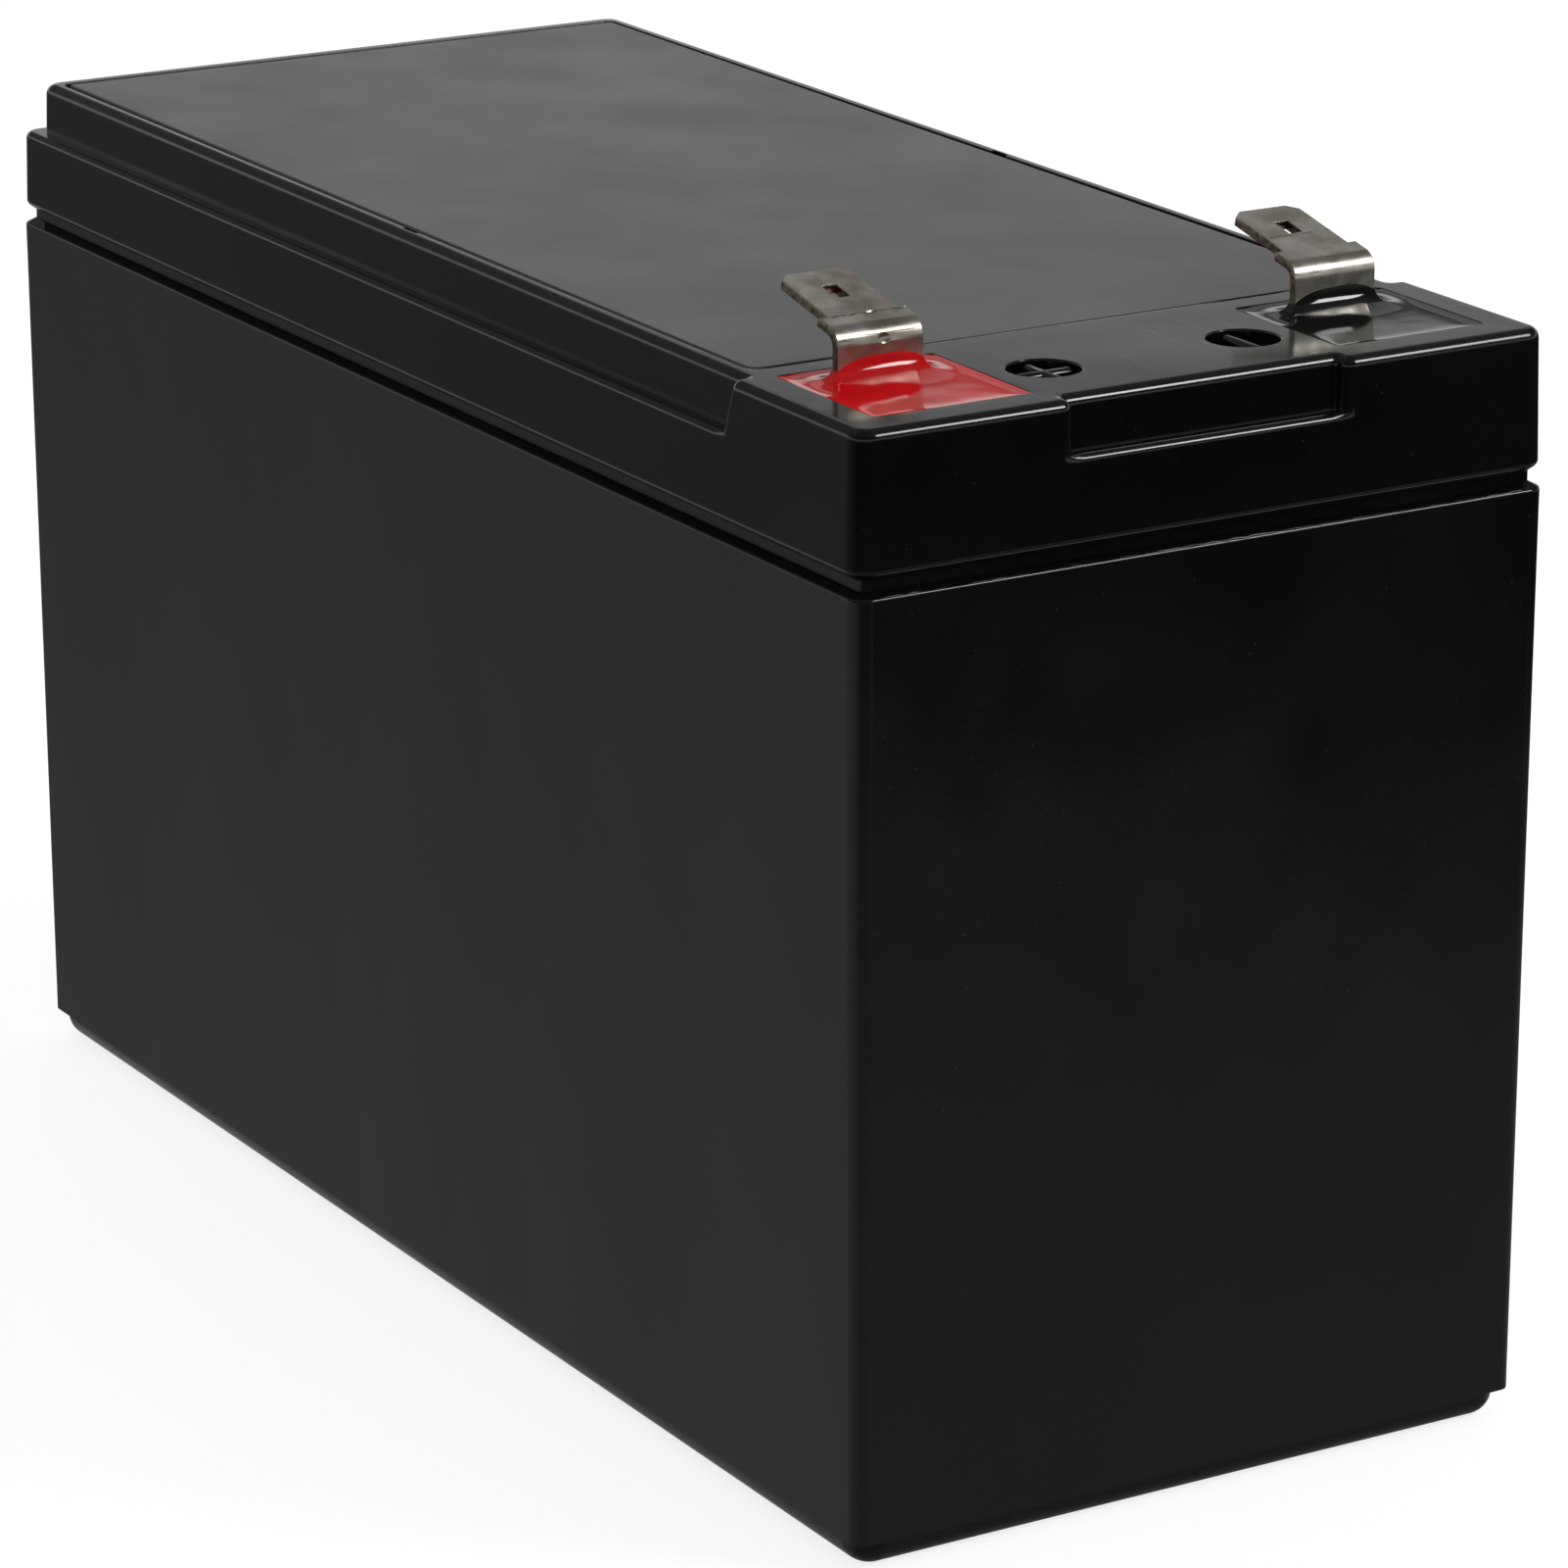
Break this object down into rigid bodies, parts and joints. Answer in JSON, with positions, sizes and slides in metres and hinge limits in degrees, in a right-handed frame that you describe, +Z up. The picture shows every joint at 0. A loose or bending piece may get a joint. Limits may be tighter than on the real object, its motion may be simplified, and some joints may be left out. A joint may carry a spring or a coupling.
{
  "type": "sealed lead acid battery",
  "caption": "Black box-shaped sealed lead acid battery with a flat lid, a flush vent cover and bent push-on tabs in red and black epoxy.",
  "frame": {"origin": "middle of the underside, on the surface that the battery stands on", "axes": "+X along the length towards the end with the terminals, +Y towards the negative terminal, +Z up"},
  "size_m": [0.151, 0.065, 0.1001],
  "materials": {
    "case_plastic": "smooth moulded, semi-gloss",
    "lid_plastic": "smooth moulded, glossy",
    "cover_plastic": "fine satin with scuffs",
    "case_glue": "set glue",
    "seal_rubber": "matt",
    "tinned_strip": "dull tin plate, lightly drawn",
    "red_epoxy": "poured, glossy",
    "black_epoxy": "poured, glossy",
    "positive_lead": "cast lead with brown paste",
    "negative_lead": "cast lead with grey paste",
    "glass_mat": "soft white glass felt"
  },
  "bodies": {
    "root": {"container": "case_plastic", "glass_mat_1_1": "glass_mat", "glass_mat_1_2": "glass_mat", "glass_mat_1_3": "glass_mat", "glass_mat_1_4": "glass_mat", "glass_mat_2_1": "glass_mat", "glass_mat_2_2": "glass_mat", "glass_mat_2_3": "glass_mat", "glass_mat_2_4": "glass_mat", "glass_mat_3_1": "glass_mat", "glass_mat_3_2": "glass_mat", "glass_mat_3_3": "glass_mat", "glass_mat_3_4": "glass_mat", "glass_mat_4_1": "glass_mat", "glass_mat_4_2": "glass_mat", "glass_mat_4_3": "glass_mat", "glass_mat_4_4": "glass_mat", "glass_mat_5_1": "glass_mat", "glass_mat_5_2": "glass_mat", "glass_mat_5_3": "glass_mat", "glass_mat_5_4": "glass_mat", "glass_mat_6_1": "glass_mat", "glass_mat_6_2": "glass_mat", "glass_mat_6_3": "glass_mat", "glass_mat_6_4": "glass_mat", "lid": "lid_plastic", "lid_glue_bead": "case_glue", "negative_plates_1": "negative_lead", "negative_plates_2": "negative_lead", "negative_plates_3": "negative_lead", "negative_plates_4": "negative_lead", "negative_plates_5": "negative_lead", "negative_plates_6": "negative_lead", "negative_post_ring": "seal_rubber", "negative_seal": "black_epoxy", "negative_terminal": "tinned_strip", "positive_plates_1": "positive_lead", "positive_plates_2": "positive_lead", "positive_plates_3": "positive_lead", "positive_plates_4": "positive_lead", "positive_plates_5": "positive_lead", "positive_plates_6": "positive_lead", "positive_post_ring": "seal_rubber", "positive_seal": "red_epoxy", "positive_terminal": "tinned_strip", "vent_cover": "cover_plastic", "vent_valve_1": "seal_rubber", "vent_valve_2": "seal_rubber", "vent_valve_3": "seal_rubber", "vent_valve_4": "seal_rubber", "vent_valve_5": "seal_rubber", "vent_valve_6": "seal_rubber"}
  },
  "joints": []
}
